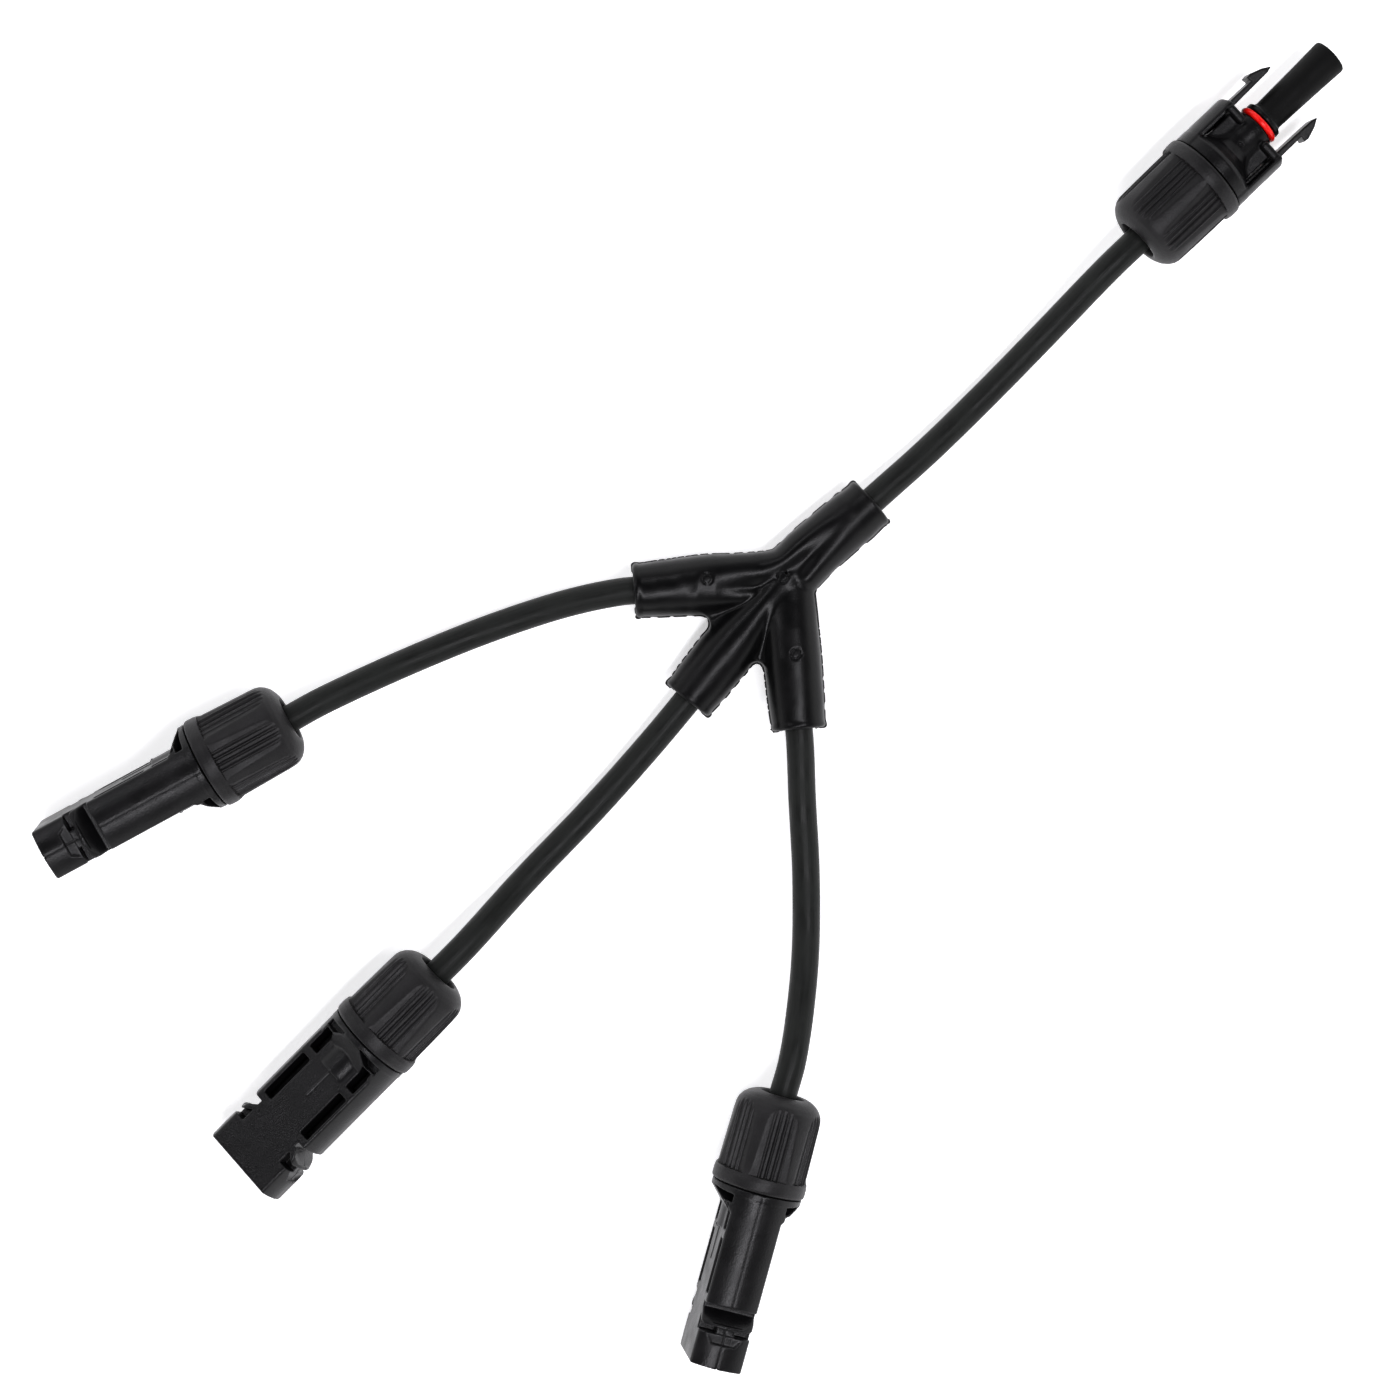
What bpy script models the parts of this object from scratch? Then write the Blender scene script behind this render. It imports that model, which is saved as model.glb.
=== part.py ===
"""A solar cable branch connector: a moulded junction that joins one trunk cable, which ends in a
probe connector, to three branch cables, each of which ends in a socket connector.

The floor is z = 0. The junction's centre stands over the origin, and the trunk runs along +X. Shapes
are drawn in millimetres, in a frame whose +X runs along the leg or the connector, and the helpers
turn them into metres."""

import math

import bmesh
import bpy
from mathutils import Matrix, Vector

MM = 0.001
SIDES = 24  # facets round a turned piece
GAP = 0.3  # between pieces that touch on the real object
CLEAR = 12.0  # how far a cutter reaches, past any connector's surface

# Junction: four round legs that meet in a hub. Each leg is (heading in degrees, length).
AXIS_HEIGHT = 6.3
HUB_R = 6.8
LEGS = {
    "trunk": (-1.7, 25.1),
    "left": (141.1, 32.6),
    "middle": (187.7, 33.7),
    "right": (231.8, 32.6),
}
TRUNK_LEG_R, BRANCH_LEG_R = 6.5, 6.2
WEB_REACH, WEB_HALF_HEIGHT = 20.3, 2.5
FERRULE_X, FERRULE_END_X, FERRULE_R, FERRULE_BORE_R = 1.0, 11.0, 3.9, 3.1
STRAND_SPREAD = 1.6  # how far each branch conductor lies off the ferrule's axis
STRAND_TURNS = {"left": 150.0, "middle": 270.0, "right": 30.0}  # where it lies round that axis
STRAND_ROOM_R = 2.5  # the room for a branch conductor between the hub and its jacket

# Cable
JACKET_R, JACKET_BORE_R, CONDUCTOR_R = 3.0, 1.6, 1.2
JACKET_START = 12.0  # from the hub's centre, inside the leg
CABLE_STEP = 9.0
STRAND_STEP = 2.5  # between the points of a conductor inside the junction

# Connectors, along +X from the gland nut's cable end
RING_R = 10.25  # the nut's front ring, which lies on the floor
CORNER_R, FLAT_APOTHEM = 9.85, 9.05
NUT_LENGTH = 20.6
SPIGOT_X, SPIGOT_R, SPIGOT_BORE_R, SPIGOT_BORE_END = 9.2, 7.2, 5.8, 19.3
SHOULDER_X = NUT_LENGTH + GAP
BODY_R, BLOCK_R, BODY_FLAT = 9.75, 10.0, 5.7  # the round sides, the front block, the two broad flats
CONTACT_BORE_R = 3.6
JACKET_END = 20.5
SOCKET_LENGTH, PROBE_LENGTH, PROBE_FACE_X = 59.0, 57.5, 34.0
CRIMP_ENDS = {"probe": 27.8, "left": 30.4, "middle": 30.4, "right": 30.4}
LATCH_HALF_WIDTH = 3.1  # of the channels and catches that take the latch fingers
FINGER_PIVOT = (25.2, 7.4)
FINGER_HALF_WIDTH = 2.6

# Where each connector's cable end lies: (x, y), heading, nose-down pitch and roll, in degrees
CONNECTORS = {
    "probe": ((104.55, 0.55), 0.2, 1.0, 6.0),
    "left": ((-97.75, 51.25), 165.05, 0.3, 82.0),
    "middle": ((-112.15, -10.2), 181.7, 2.9, 17.0),
    "right": ((-76.65, -80.05), 211.1, 0.3, 82.0),
}
RING_MIDDLE_X = 19.0

# Each free cable between its leg and its connector: it sinks to the floor and rises to the nut
CABLES = {
    "trunk": ("probe", [(41.0, -1.2, 4.6), (58.0, -1.0, 3.3), (77.3, -0.3, 4.9)]),
    "left": ("left", [(-37.8, 28.6, 4.8), (-53.2, 36.0, 3.3), (-71.1, 43.0, 4.9)]),
    "middle": ("middle", [(-48.0, -6.2, 4.8), (-65.5, -7.6, 3.3), (-85.0, -8.5, 4.9)]),
    "right": ("right", [(-29.9, -37.0, 4.8), (-41.2, -50.2, 3.3), (-54.4, -63.6, 4.9)]),
}

BLACK_NYLON = ((0.020, 0.020, 0.021), 0.48, 0.0)
GLOSSY_PVC = ((0.012, 0.012, 0.012), 0.28, 0.0)
CABLE_BLACK = ((0.018, 0.019, 0.018), 0.45, 0.0)
SEAL_RUBBER = ((0.03, 0.03, 0.03), 0.75, 0.0)
RED_SILICONE = ((0.55, 0.02, 0.01), 0.4, 0.0)
TINNED_COPPER = ((0.78, 0.76, 0.72), 0.32, 1.0)
COPPER = ((0.72, 0.40, 0.25), 0.35, 1.0)
SPRING_BRASS = ((0.80, 0.62, 0.30), 0.3, 1.0)


def clear_scene():
    for obj in list(bpy.data.objects):
        bpy.data.objects.remove(obj)


def new_collection(name, helper=False):
    collection = bpy.data.collections.new(name)
    collection.hide_render = helper
    bpy.context.scene.collection.children.link(collection)
    return collection


clear_scene()
PARTS = new_collection("solar_cable_branch")
CUTTERS = new_collection("cutters", helper=True)


def paint(obj, look):
    colour, roughness, metallic = look
    material = bpy.data.materials.new(obj.name)
    material.use_nodes = True
    shader = material.node_tree.nodes["Principled BSDF"]
    shader.inputs["Base Color"].default_value = (*colour, 1.0)
    shader.inputs["Roughness"].default_value = roughness
    shader.inputs["Metallic"].default_value = metallic
    obj.data.materials.append(material)


def add_object(name, data, parent, look=None):
    """A part with its material, or a cutter where it has no look."""
    obj = bpy.data.objects.new(name, data)
    (PARTS if look else CUTTERS).objects.link(obj)
    obj.parent = parent
    if look:
        paint(obj, look)
    else:
        obj.hide_render = True
        obj.display_type = "WIRE"
    return obj


def mesh_from(name, bm):
    mesh = bpy.data.meshes.new(name)
    bm.to_mesh(mesh)
    bm.free()
    return mesh


def frame(name, place, heading, pitch=0.0, roll=0.0):
    """An empty whose +X points along the heading, nose down by the pitch."""
    empty = bpy.data.objects.new(name, None)
    PARTS.objects.link(empty)
    empty.location = Vector(place) * MM
    empty.rotation_euler = [math.radians(angle) for angle in (roll, pitch, heading)]
    return empty


def turned(name, outline, parent, look=None, sides=SIDES):
    """A solid of revolution about +X. The outline is (along, radius), closed unless it starts and
    ends on the axis."""
    on_axis = outline[0][1] == 0 and outline[-1][1] == 0
    bm = bmesh.new()
    points = [bm.verts.new(Vector((x, r, 0)) * MM) for x, r in outline]
    for a, b in zip(points, points[1:] + ([] if on_axis else points[:1])):
        bm.edges.new((a, b))
    obj = add_object(name, mesh_from(name, bm), parent, look)
    ends = zip(outline, outline[1:] + outline[:1])
    area = sum(x0 * r1 - x1 * r0 for (x0, r0), (x1, r1) in ends)
    screw = obj.modifiers.new("turn", "SCREW")
    screw.axis = "X"
    screw.steps = screw.render_steps = sides
    screw.use_merge_vertices = True
    screw.merge_threshold = 0.00001
    screw.use_normal_flip = area < 0
    return obj


def prism(name, outline, half_height, parent, look=None, upright=False):
    """A flat outline of (x, y), or of (x, z) where upright, made thick to both sides of its plane."""
    bm = bmesh.new()
    places = [Vector((x, 0, v) if upright else (x, v, 0)) * MM for x, v in outline]
    bm.faces.new([bm.verts.new(place) for place in places])
    obj = add_object(name, mesh_from(name, bm), parent, look)
    thick = obj.modifiers.new("thickness", "SOLIDIFY")
    thick.thickness = 2 * half_height * MM
    thick.offset = 0.0
    return obj


def boxes(name, corners, parent, turns=(0,)):
    """Cutter boxes from (low, high) corner pairs, each repeated at every turn about +X, in degrees."""
    bm = bmesh.new()
    for turn in turns:
        for low, high in corners:
            size = Matrix.Diagonal([(b - a) * MM for a, b in zip(low, high)] + [1])
            middle = Matrix.Translation([(a + b) / 2 * MM for a, b in zip(low, high)])
            place = Matrix.Rotation(math.radians(turn), 4, "X") @ middle @ size
            bmesh.ops.create_cube(bm, size=1.0, matrix=place)
    return add_object(name, mesh_from(name, bm), parent)


def combine(target, tool, operation="DIFFERENCE"):
    boolean = target.modifiers.new(tool.name, "BOOLEAN")
    boolean.operation = operation
    boolean.object = tool
    boolean.solver = "EXACT"


def smooth(obj, degrees=35.0):
    """Shades a finished piece smooth, with its edges kept sharp."""
    obj.data.shade_smooth()
    obj.data.set_sharp_from_angle(angle=math.radians(degrees))


def on_axis(parent, along, off_y=0.0, off_z=0.0):
    """A point of a leg's or connector's own frame, in world millimetres."""
    bpy.context.view_layer.update()
    return parent.matrix_world @ (Vector((along, off_y, off_z)) * MM) / MM


def smooth_route(points, step):
    """Evenly spaced points on a centripetal Catmull-Rom curve through the route's own points."""
    points = [Vector(p) for p in points]
    padded = [2 * points[0] - points[1], *points, 2 * points[-1] - points[-2]]
    fine = []
    for p0, p1, p2, p3 in zip(padded, padded[1:], padded[2:], padded[3:]):
        t1 = (p1 - p0).length ** 0.5
        t2 = t1 + (p2 - p1).length ** 0.5
        t3 = t2 + (p3 - p2).length ** 0.5
        for i in range(24):
            t = t1 + (t2 - t1) * i / 24
            a1 = p0.lerp(p1, t / t1)
            a2 = p1.lerp(p2, (t - t1) / (t2 - t1))
            a3 = p2.lerp(p3, (t - t2) / (t3 - t2))
            b1 = a1.lerp(a2, t / t2)
            b2 = a2.lerp(a3, (t - t1) / (t3 - t1))
            fine.append(b1.lerp(b2, (t - t1) / (t2 - t1)))
    fine.append(points[-1])
    reach = [0.0]
    for a, b in zip(fine, fine[1:]):
        reach.append(reach[-1] + (b - a).length)
    count = max(2, round(reach[-1] / step))
    route, at = [], 0
    for i in range(count + 1):
        goal = reach[-1] * i / count
        while at < len(fine) - 2 and reach[at + 1] < goal:
            at += 1
        share = (goal - reach[at]) / (reach[at + 1] - reach[at])
        route.append(fine[at].lerp(fine[at + 1], min(share, 1.0)))
    return route


def tube(name, route, radius, look, bevel_resolution, capped):
    """A round bar, or an open sleeve where it isn't capped, along a route."""
    curve = bpy.data.curves.new(name, "CURVE")
    curve.dimensions = "3D"
    curve.bevel_depth = radius * MM
    curve.bevel_resolution = bevel_resolution
    curve.use_fill_caps = capped
    spline = curve.splines.new("POLY")
    spline.points.add(len(route) - 1)
    for point, place in zip(spline.points, route):
        point.co = (*(place * MM), 1.0)
    return add_object(name, curve, None, look)


# ---------------------------------------------------------------- junction


def leg_outline(length, root_r, end_r):
    """A leg from the hub's centre out to its end, which has a small rounded rim."""
    body = [(-1, 0), (-1, root_r), (length * 0.5, root_r), (length - 3.0, end_r - 0.2)]
    rim = [(length - 1.4, end_r - 0.2), (length - 0.9, end_r), (length - 0.4, end_r)]
    return body + rim + [(length, end_r - 0.4), (length, 0)]


def bore_outline(length, inner_r, step_x):
    """The room inside a leg: for the splice or the conductor, then for the jacket."""
    return [(-0.5, 0), (-0.5, inner_r), (step_x, inner_r), (step_x, JACKET_R + 0.35),
            (length + 5, JACKET_R + 0.35), (length + 5, 0)]


def junction(frames):
    length = LEGS["trunk"][1]
    body = turned("junction_body", leg_outline(length, TRUNK_LEG_R, 5.9), frames["trunk"], GLOSSY_PVC)
    for name in ("left", "middle", "right"):
        outline = leg_outline(LEGS[name][1], BRANCH_LEG_R, 5.65)
        combine(body, turned(f"{name}_leg", outline, frames[name]), "UNION")
    bm = bmesh.new()
    bmesh.ops.create_uvsphere(bm, u_segments=SIDES, v_segments=12, radius=HUB_R * MM)
    hub = add_object("hub", mesh_from("hub", bm), None)
    hub.location.z = AXIS_HEIGHT * MM
    combine(body, hub, "UNION")
    headings = [math.radians(LEGS[name][0]) for name in ("left", "middle", "right")]
    corners = [(WEB_REACH * math.cos(a), WEB_REACH * math.sin(a)) for a in headings]
    web = prism("branch_web", [(0.7, 0.2), *corners], WEB_HALF_HEIGHT, None)
    web.location.z = AXIS_HEIGHT * MM
    combine(body, web, "UNION")
    floor = boxes("floor_cutter", [((-60, -60, -9), (60, 60, 0))], None)
    combine(body, floor)
    for name, (_, length) in LEGS.items():
        inner_r = FERRULE_R + GAP if name == "trunk" else STRAND_ROOM_R
        outline = bore_outline(length, inner_r, JACKET_START - GAP)
        combine(body, turned(f"{name}_bore", outline, frames[name], sides=16))
    smooth(body)
    ferrule = [(FERRULE_X, FERRULE_BORE_R), (FERRULE_X, FERRULE_R), (FERRULE_END_X, FERRULE_R),
               (FERRULE_END_X, FERRULE_BORE_R)]
    smooth(turned("splice_ferrule", ferrule, frames["trunk"], TINNED_COPPER, sides=16))


# ---------------------------------------------------------------- connectors


def gland_nut(name, seat):
    outline = [(0, 4.6), (0, 5.6), (0.4, 6.5), (1.3, 7.9), (2.4, 8.8), (3.8, 9.4), (16.6, CORNER_R),
               (17.4, 10.0), (18.2, RING_R), (20.1, RING_R), (NUT_LENGTH, 10.0), (NUT_LENGTH, 7.75),
               (9.2, 7.75), (6.5, 6.5), (3.2, 4.65)]
    nut = turned(f"{name}_gland_nut", outline, seat, BLACK_NYLON)
    flat = ((-1, -4, FLAT_APOTHEM), (17.3, 4, 12))
    combine(nut, boxes(f"{name}_nut_flats", [flat], seat, turns=range(0, 360, 60)))
    smooth(nut, 25)


def clamp_cage(name, seat):
    outline = [(3.7, 3.4), (3.7, 4.45), (6.9, 5.5), (11.0, 5.5), (11.0, 3.4)]
    cage = turned(f"{name}_clamp_cage", outline, seat, BLACK_NYLON, sides=18)
    slot = ((2, -0.45, 3.0), (8.2, 0.45, 7.0))
    combine(cage, boxes(f"{name}_cage_slots", [slot], seat, turns=range(10, 360, 60)))
    smooth(cage)


def cable_seal(name, seat):
    outline = [(11.4, 3.3), (11.4, 5.1), (12.0, 5.5), (18.0, 5.5), (18.5, 5.1), (18.5, 3.3)]
    smooth(turned(f"{name}_cable_seal", outline, seat, SEAL_RUBBER, sides=18))


def broad_flats(name, seat, start, slope_end, end):
    """Cutters that make the two broad flat faces and the slopes that lead down to them."""
    for side in (1, -1):
        outline = [(start, side * (BODY_R + 0.4)), (slope_end, side * BODY_FLAT),
                   (end, side * BODY_FLAT), (end, side * CLEAR), (start, side * CLEAR)]
        yield prism(f"{name}_flat_{'top' if side > 0 else 'under'}", outline, CLEAR, seat, upright=True)


def both_sides(low, high):
    """A box's corners, and its mirror image across the X-Z plane."""
    return [(low, high), ((low[0], -high[1], low[2]), (high[0], -low[1], high[2]))]


def spigot_outline():
    """The threaded spigot's outside, from its cable end to the shoulder."""
    return [(SPIGOT_BORE_END, SPIGOT_BORE_R), (SPIGOT_X, SPIGOT_BORE_R), (SPIGOT_X, SPIGOT_R),
            (SHOULDER_X, SPIGOT_R)]


def socket_housing(name, seat):
    front = SOCKET_LENGTH
    outline = spigot_outline() + [
        (SHOULDER_X, BODY_R), (48, BODY_R), (51, BLOCK_R), (front, BLOCK_R), (front, 4.8), (front - 4, 4.8),
        (front - 4, 4.0), (39.5, 4.0), (39.5, 2.35), (38.3, 2.35), (38.3, CONTACT_BORE_R),
        (SPIGOT_BORE_END, CONTACT_BORE_R)]
    body = turned(f"{name}_housing", outline, seat, BLACK_NYLON)
    for cutter in broad_flats(name, seat, 22.2, 26.4, front + 1):
        combine(body, cutter)
    barrel = [(23.0, 5.0), (23.0, 6.45), (30.2, 6.45), (31.0, 5.9), (31.0, 5.0)]
    combine(body, turned(f"{name}_barrel", barrel, seat), "UNION")
    windows = both_sides((24.3, 4.9, -CLEAR), (30.2, 7.2, CLEAR))
    windows += both_sides((32.2, 4.9, -CLEAR), (44.2, 7.2, CLEAR))
    combine(body, boxes(f"{name}_windows", windows, seat))
    notch = [(45.9, CLEAR), (45.9, 6.2), (47.0, 6.2), (49.9, 9.4), (49.9, CLEAR)]
    pocket = [(48.0, 6.2), (50.4, 8.9), (50.4, CLEAR), (51.4, CLEAR), (51.4, 6.2)]
    for cut, corners in (("notch", notch), ("pocket", pocket)):
        for side in (1, -1):
            outline = [(x, side * y) for x, y in corners]
            combine(body, prism(f"{name}_{cut}_{'a' if side > 0 else 'b'}", outline, CLEAR, seat))
    half = LATCH_HALF_WIDTH
    catches = both_sides((51.0, 5.9, -half), (53.8, CLEAR, half))
    channels = both_sides((53.5, 5.9, -half), (front + 1, 8.3, half))
    combine(body, boxes(f"{name}_catches", catches, seat))
    combine(body, boxes(f"{name}_channels", channels, seat))
    smooth(body, 25)
    pin = [(53.0, 0), (52.8, 1.4), (52.2, 2.0), (37.9, 2.0), (37.8, 3.2), (33.2, 3.2), (32.6, 2.5),
           (22.0, 2.5), (22.0, 1.55), (31.0, 1.55), (31.5, 0)]
    smooth(turned(f"{name}_pin_contact", pin, seat, TINNED_COPPER, sides=16))


def probe_housing(name, seat):
    face, tip = PROBE_FACE_X, PROBE_LENGTH
    outline = spigot_outline() + [
        (SHOULDER_X, BODY_R), (face, BODY_R), (face, 4.65), (35.05, 4.65), (35.05, 3.3), (36.95, 3.3),
        (36.95, 4.5), (38.0, 4.5), (38.4, 3.4), (39.0, 3.35), (50.0, 3.6), (tip - 0.6, 3.85),
        (tip, 3.4), (tip, 2.3), (tip - 0.6, 2.3), (tip - 0.6, 2.85), (33.2, 2.85),
        (33.2, CONTACT_BORE_R), (SPIGOT_BORE_END, CONTACT_BORE_R)]
    body = turned(f"{name}_housing", outline, seat, BLACK_NYLON)
    for cutter in broad_flats(name, seat, 24.5, 27.6, face + 0.6):
        combine(body, cutter)
    half = LATCH_HALF_WIDTH
    windows = both_sides((25.0, 5.0, -CLEAR), (32.4, 7.7, CLEAR))
    channels = both_sides((23.9, 5.2, -half), (face + 1, 8.6, half))
    combine(body, boxes(f"{name}_windows", windows, seat))
    combine(body, boxes(f"{name}_channels", channels, seat))
    smooth(body, 25)


def probe_contact(name, seat):
    outline = [(28.8, 0), (28.3, 1.55), (21.5, 1.55), (21.5, 2.5), (28.0, 2.5), (28.4, 3.2),
               (32.4, 3.2), (32.6, 2.6), (55.4, 2.6), (55.4, 2.05), (52.0, 2.05), (52.0, 2.35),
               (47.0, 2.35), (47.0, 2.05), (37.5, 2.05), (37.0, 0)]
    smooth(turned(f"{name}_socket_contact", outline, seat, TINNED_COPPER, sides=16))
    band = [(47.3, 2.12), (47.3, 2.28), (51.7, 2.28), (51.7, 2.12)]
    lamella = turned(f"{name}_contact_lamella", band, seat, SPRING_BRASS, sides=16)
    combine(lamella, boxes(f"{name}_lamella_slit", [((46, 1.8, -0.25), (53, 3, 0.25))], seat))
    smooth(lamella)


def o_ring(name, seat):
    centre_x, centre_r, section_r, points = 36.0, 4.1, 0.7, 10
    angles = [2 * math.pi * i / points for i in range(points)]
    outline = [(centre_x + section_r * math.cos(a), centre_r + section_r * math.sin(a)) for a in angles]
    smooth(turned(f"{name}_o_ring", outline, seat, RED_SILICONE), 60)


def latch_finger(name, seat, side, label):
    """A barbed finger whose origin is the root that it flexes about."""
    pivot_x, pivot_y = FINGER_PIVOT
    corners = [(24.3, 6.6), (44.6, 7.0), (45.8, 7.4), (43.6, 8.6), (41.4, 9.3), (40.4, 9.25),
               (40.6, 8.2), (24.3, 8.2)]
    outline = [(x - pivot_x, side * (y - pivot_y)) for x, y in corners]
    finger = prism(f"{name}_latch_finger_{label}", outline, FINGER_HALF_WIDTH, seat, BLACK_NYLON)
    finger.location = Vector((pivot_x, side * pivot_y, 0)) * MM
    smooth(finger)


# ---------------------------------------------------------------- cables


def cable(name, leg, seat, middle_points, frames):
    """The jacket from inside its leg to inside its connector, and the conductor that runs through it
    from the splice ferrule to the contact's crimp."""
    leg_length = LEGS[name][1]
    route = [on_axis(leg, JACKET_START), on_axis(leg, leg_length - 3), on_axis(leg, leg_length + 3)]
    route += [Vector(point) for point in middle_points]
    route += [on_axis(seat, along) for along in (-8.0, 0.0, 10.0, JACKET_END)]
    route = smooth_route(route, CABLE_STEP)
    sleeve = tube(f"{name}_cable_jacket", route, JACKET_R, CABLE_BLACK, 4, capped=False)
    hollow(sleeve)
    trunk = frames["trunk"]
    if name == "trunk":
        inner = [on_axis(trunk, 6.8), on_axis(trunk, 9.5)]
    else:
        turn = math.radians(STRAND_TURNS[name])
        off_y, off_z = -STRAND_SPREAD * math.cos(turn), -STRAND_SPREAD * math.sin(turn)
        ends = [on_axis(trunk, along, off_y, off_z) for along in (5.6, 0.8)]
        inner = smooth_route([*ends, on_axis(leg, 6.5), on_axis(leg, 10.0)], STRAND_STEP)
    strand = [*inner, *route, on_axis(seat, CRIMP_ENDS[CABLES[name][0]])]
    tube(f"{name}_conductor", strand, CONDUCTOR_R, COPPER, 2, capped=True)


def hollow(sleeve):
    """Gives an open tube its wall, inwards, as a mesh object of the same name."""
    bpy.context.view_layer.update()
    graph = bpy.context.evaluated_depsgraph_get()
    mesh = bpy.data.meshes.new_from_object(sleeve.evaluated_get(graph))
    bm = bmesh.new()
    bm.from_mesh(mesh)
    bmesh.ops.remove_doubles(bm, verts=bm.verts, dist=0.00001)
    bm.to_mesh(mesh)
    bm.free()
    name, curve = sleeve.name, sleeve.data
    mesh.materials.clear()
    mesh.materials.append(curve.materials[0])
    bpy.data.objects.remove(sleeve)
    bpy.data.curves.remove(curve)
    obj = bpy.data.objects.new(name, mesh)
    PARTS.objects.link(obj)
    wall = obj.modifiers.new("wall", "SOLIDIFY")
    wall.thickness = (JACKET_R - JACKET_BORE_R) * MM
    wall.offset = -1.0
    smooth(obj)


def main():
    height = (0, 0, AXIS_HEIGHT)
    frames = {name: frame(f"{name}_leg_axis", height, heading) for name, (heading, _) in LEGS.items()}
    junction(frames)
    seats = {}
    for name, ((x, y), heading, pitch, roll) in CONNECTORS.items():
        z = RING_R + 0.05 + RING_MIDDLE_X * math.sin(math.radians(pitch))
        seat = seats[name] = frame(f"{name}_connector_axis", (x, y, z), heading, pitch, roll)
        gland_nut(name, seat)
        clamp_cage(name, seat)
        cable_seal(name, seat)
        if name == "probe":
            probe_housing(name, seat)
            probe_contact(name, seat)
            o_ring(name, seat)
            latch_finger(name, seat, 1, "a")
            latch_finger(name, seat, -1, "b")
        else:
            socket_housing(name, seat)
    for name, (connector, middle_points) in CABLES.items():
        cable(name, frames[name], seats[connector], middle_points, frames)


main()
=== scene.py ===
"""The looks of a solar cable branch connector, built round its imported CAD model.

Each connector piece is a distance field in millimetres, in the frame of its own connector, whose +X
runs outwards. The junction's field is in the frame of its hub. `skin` turns a field into a mesh, in
metres."""

import math

import bmesh
import bpy
import numpy as np
from mathutils import Euler, Matrix, Vector


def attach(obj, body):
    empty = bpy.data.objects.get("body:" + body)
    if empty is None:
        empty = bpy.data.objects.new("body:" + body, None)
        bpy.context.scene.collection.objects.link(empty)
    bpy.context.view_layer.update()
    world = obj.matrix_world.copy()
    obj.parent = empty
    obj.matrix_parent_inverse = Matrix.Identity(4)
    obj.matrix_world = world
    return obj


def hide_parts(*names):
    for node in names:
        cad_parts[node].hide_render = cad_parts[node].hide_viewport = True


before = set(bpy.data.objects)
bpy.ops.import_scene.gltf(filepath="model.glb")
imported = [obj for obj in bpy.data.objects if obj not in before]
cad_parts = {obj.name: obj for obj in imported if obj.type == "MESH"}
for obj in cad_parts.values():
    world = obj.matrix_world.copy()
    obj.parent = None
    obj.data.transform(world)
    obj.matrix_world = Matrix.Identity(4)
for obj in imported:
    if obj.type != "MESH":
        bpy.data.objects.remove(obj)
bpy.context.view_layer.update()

MM = 0.001

# ---------------------------------------------------------------- driving sizes, in millimetres

AXIS_HEIGHT = 6.3
LEGS = {  # (heading in degrees, length)
    "trunk": (-1.7, 25.1),
    "left": (141.1, 32.6),
    "middle": (187.7, 33.7),
    "right": (231.8, 32.6),
}
WEB_REACH, WEB_HALF_HEIGHT = 20.3, 2.3
RING_R, CORNER_R, NUT_LENGTH = 10.25, 9.85, 20.6
SHOULDER_X = 20.9
SPIGOT_X, SPIGOT_R, SPIGOT_BORE_R = 9.2, 7.2, 5.8
THREAD_PITCH = 1.5
BODY_R, BLOCK_R, BODY_FLAT = 9.75, 10.0, 5.7
SOCKET_LENGTH, PROBE_LENGTH, PROBE_FACE_X = 59.0, 57.5, 34.0
JACKET_R, JACKET_START, JACKET_END = 3.0, 12.0, 20.5
FINGER_PIVOT, FINGER_HALF_WIDTH = (25.2, 7.4), 2.6
RING_MIDDLE_X = 19.0
CONNECTORS = {  # (place of the nut's rear end, heading, pitch, roll)
    "probe": ((104.55, 0.55), 0.2, 1.0, 6.0),
    "left": ((-97.75, 51.25), 165.05, 0.3, 82.0),
    "middle": ((-112.15, -10.2), 181.7, 2.9, 17.0),
    "right": ((-76.65, -80.05), 211.1, 0.3, 82.0),
}
CABLES = {  # (connector, points between the leg and the nut)
    "trunk": ("probe", [(41.0, -1.2, 4.6), (58.0, -1.0, 3.3), (77.3, -0.3, 4.9)]),
    "left": ("left", [(-37.8, 28.6, 4.8), (-53.2, 36.0, 3.3), (-71.1, 43.0, 4.9)]),
    "middle": ("middle", [(-48.0, -6.2, 4.8), (-65.5, -7.6, 3.3), (-85.0, -8.5, 4.9)]),
    "right": ("right", [(-29.9, -37.0, 4.8), (-41.2, -50.2, 3.3), (-54.4, -63.6, 4.9)]),
}
CABLE_STEP, CABLE_LEAD = 1.5, 3.0
CABLE_INSIDE = (-8.0, 0.0, 10.0, JACKET_END)
FLOOR_GAP = 0.05
SEAL_END_X, PASSAGE_R = 19.3, 3.6
JUNCTION_GRID, SOCKET_GRID, PROBE_GRID, FINGER_GRID = 0.345, 0.275, 0.26, 0.16


def axis_frame(place, heading, pitch=0.0, roll=0.0):
    """The matrix of a frame whose +X points along the heading, nose down by the pitch."""
    angles = Euler([math.radians(angle) for angle in (roll, pitch, heading)])
    return Matrix.Translation(Vector(place) * MM) @ angles.to_matrix().to_4x4()


def seat_frame(name):
    (x, y), heading, pitch, roll = CONNECTORS[name]
    z = RING_R + FLOOR_GAP + RING_MIDDLE_X * math.sin(math.radians(pitch))
    return axis_frame((x, y, z), heading, pitch, roll)


HUB = axis_frame((0, 0, AXIS_HEIGHT), 0)
LEG_FRAMES = {name: axis_frame((0, 0, AXIS_HEIGHT), heading) for name, (heading, _) in LEGS.items()}
SEATS = {name: seat_frame(name) for name in CONNECTORS}


def on_axis(matrix, along):
    """A point on a leg's or connector's own axis, in the harness's frame, in millimetres."""
    return matrix @ Vector((along * MM, 0, 0)) / MM


# ---------------------------------------------------------------- camera

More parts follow.
